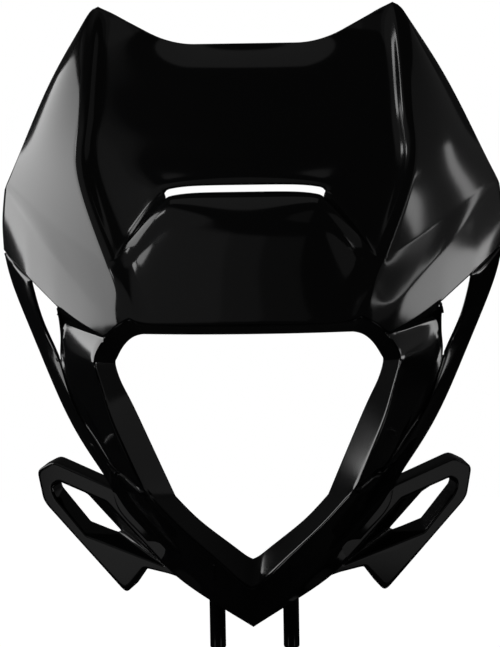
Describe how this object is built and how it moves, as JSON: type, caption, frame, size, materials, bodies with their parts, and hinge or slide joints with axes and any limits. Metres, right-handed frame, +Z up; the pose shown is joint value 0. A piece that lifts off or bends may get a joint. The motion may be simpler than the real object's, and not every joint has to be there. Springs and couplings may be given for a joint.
{
  "type": "motorcycle headlight mask",
  "caption": "Moulded headlight mask for an off-road motorcycle, with a framed headlight opening, a vent slot, side ducts, pierced fins and locating pegs at the chin.",
  "frame": {"origin": "midway between the locating pegs, at their shoulders", "axes": "+X across, to the right as seen from the front; +Y back, towards the motorcycle; +Z up"},
  "size_m": [0.3002, 0.1151, 0.3785],
  "materials": {
    "mask": "high gloss black"
  },
  "bodies": {
    "root": {"mask": "mask"}
  },
  "joints": []
}
